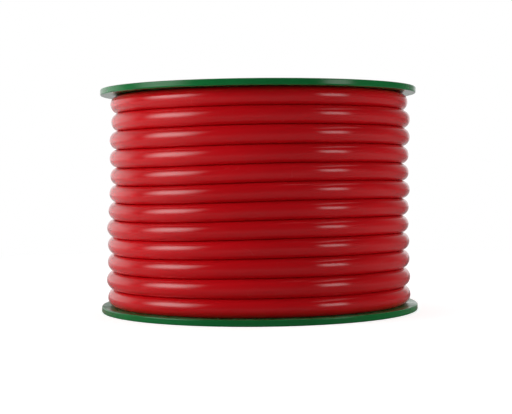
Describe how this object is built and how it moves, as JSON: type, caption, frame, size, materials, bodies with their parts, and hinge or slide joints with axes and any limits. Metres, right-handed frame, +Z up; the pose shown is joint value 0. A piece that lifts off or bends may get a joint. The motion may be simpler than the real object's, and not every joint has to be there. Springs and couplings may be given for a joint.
{
  "type": "hose on a reel",
  "caption": "Glossy red air hose wound in level turns on a reel with a plain barrel and two thin green flanges.",
  "frame": {"origin": "middle of the underside, where the reel's axis meets the plane that it stands on", "axes": "+Z up along the reel's axis, -Y towards the side with level turns, +X to the right seen from there"},
  "size_m": [0.22, 0.22, 0.1538],
  "materials": {
    "hose_red": "smooth, high gloss",
    "flange_green": "moulded, glossy",
    "barrel_grey": "extruded, dull",
    "tube_steel": "zinc plated tube",
    "fastener_zinc": "zinc plated",
    "tape_cream": "thin adhesive tape"
  },
  "bodies": {
    "root": {"bottom_flange": "flange_green", "top_flange": "flange_green", "barrel": "barrel_grey", "spindle_tube": "tube_steel", "tie_bolt_1": "fastener_zinc", "tie_bolt_2": "fastener_zinc", "tie_bolt_3": "fastener_zinc", "tie_bolt_4": "fastener_zinc", "head_washer_1": "fastener_zinc", "head_washer_2": "fastener_zinc", "head_washer_3": "fastener_zinc", "head_washer_4": "fastener_zinc", "nut_washer_1": "fastener_zinc", "nut_washer_2": "fastener_zinc", "nut_washer_3": "fastener_zinc", "nut_washer_4": "fastener_zinc", "nut_1": "fastener_zinc", "nut_2": "fastener_zinc", "nut_3": "fastener_zinc", "nut_4": "fastener_zinc", "hose_inner_layers": "hose_red", "hose_outer_layer": "hose_red", "hose_free_end": "hose_red", "end_tape": "tape_cream"}
  },
  "joints": []
}
